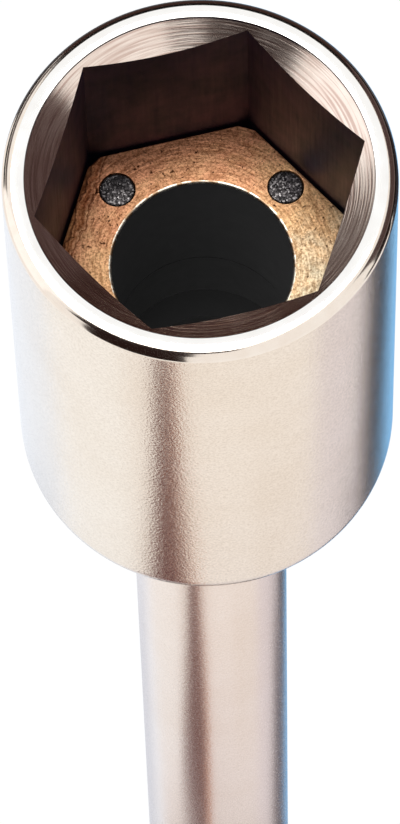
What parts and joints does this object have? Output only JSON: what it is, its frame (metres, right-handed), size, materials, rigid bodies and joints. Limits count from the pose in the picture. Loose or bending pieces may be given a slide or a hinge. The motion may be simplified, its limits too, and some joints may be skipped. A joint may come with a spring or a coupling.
{
  "type": "magnetic socket",
  "caption": "Deep hexagon nut socket on a slim round shank, with magnets in a brass bush that holds the nut and lets the bolt pass, turned by a square drive.",
  "frame": {"origin": "middle of the drive end's lower face, on the axis", "axes": "+Z along the axis from the drive end to the mouth; +X through a corner of the hexagon"},
  "size_m": [0.0176, 0.0176, 0.1375],
  "materials": {
    "satin_nickel": "satin nickel plate over steel, polished on the rim",
    "turned_brass": "turned, with fine circular marks",
    "sintered_magnet": "bare sintered, grainy"
  },
  "bodies": {
    "root": {"drive_hub": "satin_nickel", "shank": "satin_nickel", "socket_head": "satin_nickel", "magnet_carrier": "turned_brass", "magnet_1": "sintered_magnet", "magnet_2": "sintered_magnet", "magnet_3": "sintered_magnet", "magnet_4": "sintered_magnet"}
  },
  "joints": []
}
